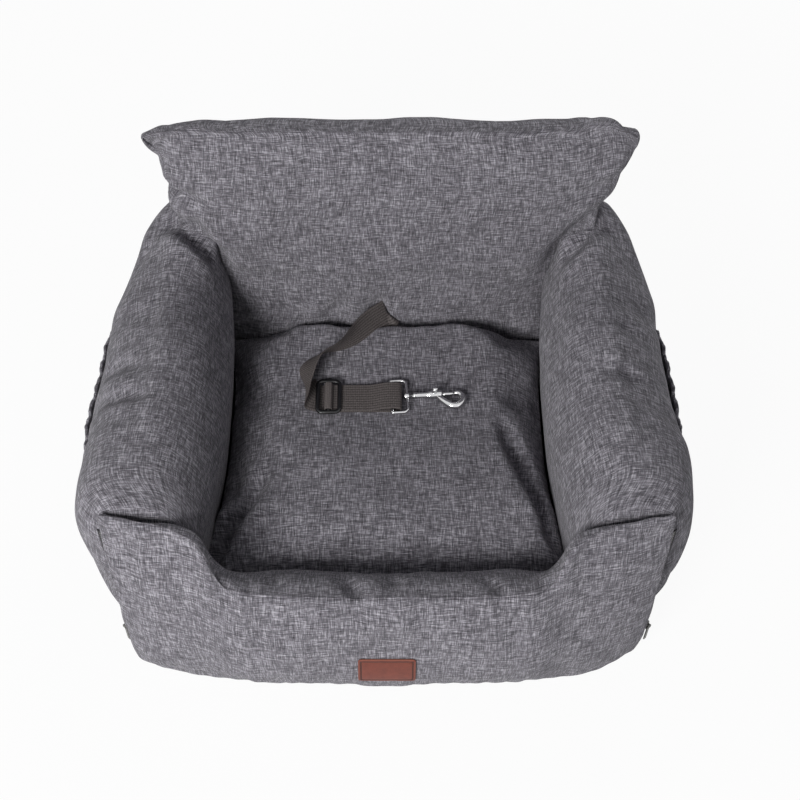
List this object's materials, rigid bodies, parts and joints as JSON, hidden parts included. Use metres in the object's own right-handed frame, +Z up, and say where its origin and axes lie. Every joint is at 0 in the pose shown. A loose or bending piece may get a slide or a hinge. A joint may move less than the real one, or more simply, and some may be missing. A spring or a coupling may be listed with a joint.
{
  "type": "dog car seat",
  "caption": "Padded fabric dog car seat with a tall back cushion, side bolsters, a low front bolster, outer pockets, and a webbing tether with an adjuster and snap hook.",
  "frame": {"origin": "middle of the footprint, at the underside the seat stands on", "axes": "+Z up; the dog looks out over the low front bolster towards -Y; +X to the right of someone who faces the front"},
  "size_m": [0.663, 0.5149, 0.404],
  "materials": {
    "cloth": "matte",
    "underside": "matte",
    "foam": "matte",
    "fibre": "matte",
    "webbing": "satin",
    "elastic": "matte",
    "zip_tape": "matte",
    "zip_metal": "satin",
    "leather": "satin",
    "thread": "matte",
    "black_plastic": "gloss",
    "chrome": "polished",
    "spring_steel": "satin"
  },
  "bodies": {
    "seat": {"base_panel": "underside", "base_foam": "foam", "seat_cover": "cloth", "seat_pad": "foam", "left_bolster_cover": "cloth", "left_bolster_fill": "fibre", "right_bolster_cover": "cloth", "right_bolster_fill": "fibre", "front_bolster_cover": "cloth", "front_bolster_fill": "fibre", "back_cushion_cover": "cloth", "back_cushion_fill": "fibre", "left_side_pocket": "cloth", "left_pocket_elastic": "elastic", "right_side_pocket": "cloth", "right_pocket_elastic": "elastic", "left_corner_zip": "zip_tape", "right_corner_zip": "zip_tape", "back_zip": "zip_tape", "leather_label": "leather", "label_stitching": "thread", "left_belt_loop": "webbing", "right_belt_loop": "webbing", "tether_strap": "webbing", "tether_loop": "webbing"},
    "left_slider": {"left_zip_slider": "zip_metal"},
    "left_pull": {"left_zip_pull": "zip_metal"},
    "right_slider": {"right_zip_slider": "zip_metal"},
    "right_pull": {"right_zip_pull": "zip_metal"},
    "back_slider": {"back_zip_slider": "zip_metal"},
    "back_pull": {"back_zip_pull": "zip_metal"},
    "adjuster": {"strap_slide": "black_plastic", "slide_webbing": "webbing"},
    "eye": {"snap_eye": "chrome"},
    "hook": {"snap_hook": "chrome", "snap_spring": "spring_steel"},
    "bolt": {"snap_bolt": "chrome"}
  },
  "joints": [
    {"name": "left_zip_run", "type": "slide", "parent": "seat", "child": "left_slider", "axis": [-0.1073, 0.1378, 0.9846], "range_m": [0, 0.139]},
    {"name": "left_pull_hinge", "type": "hinge", "parent": "left_slider", "child": "left_pull", "pos_m": [-0.28089, -0.18919, 0.03896], "axis": [-0.6964, 0.6964, -0.1734], "range_deg": [0, 150]},
    {"name": "right_zip_run", "type": "slide", "parent": "seat", "child": "right_slider", "axis": [0.1073, 0.1378, 0.9846], "range_m": [0, 0.139]},
    {"name": "right_pull_hinge", "type": "hinge", "parent": "right_slider", "child": "right_pull", "pos_m": [0.28089, -0.18919, 0.03896], "axis": [-0.6964, -0.6964, 0.1734], "range_deg": [0, 150]},
    {"name": "back_zip_run", "type": "slide", "parent": "seat", "child": "back_slider", "axis": [-1, 0, 0], "range_m": [0, 0.238]},
    {"name": "back_pull_hinge", "type": "hinge", "parent": "back_slider", "child": "back_pull", "pos_m": [0.119, 0.24868, 0.033], "axis": [0, 0, -1], "range_deg": [0, 150]},
    {"name": "adjuster_run", "type": "slide", "parent": "seat", "child": "adjuster", "axis": [1, 0, 0], "range_m": [0, 0.03]},
    {"name": "snap_eye_hinge", "type": "hinge", "parent": "seat", "child": "eye", "pos_m": [0.0045, 0.065, 0.1148], "axis": [0.0698, -0.9976, 0], "range_deg": [0, 100]},
    {"name": "snap_swivel", "type": "hinge", "parent": "eye", "child": "hook", "pos_m": [0.0045, 0.065, 0.1148], "axis": [-0.9976, -0.0698, 0], "range_deg": [0, 100]},
    {"name": "bolt_run", "type": "slide", "parent": "hook", "child": "bolt", "axis": [-0.9976, -0.0698, 0], "range_m": [0, 0.009], "stiffness_N_per_m": 250, "springref_m": -0.008, "deforming": ["snap_spring"]}
  ]
}
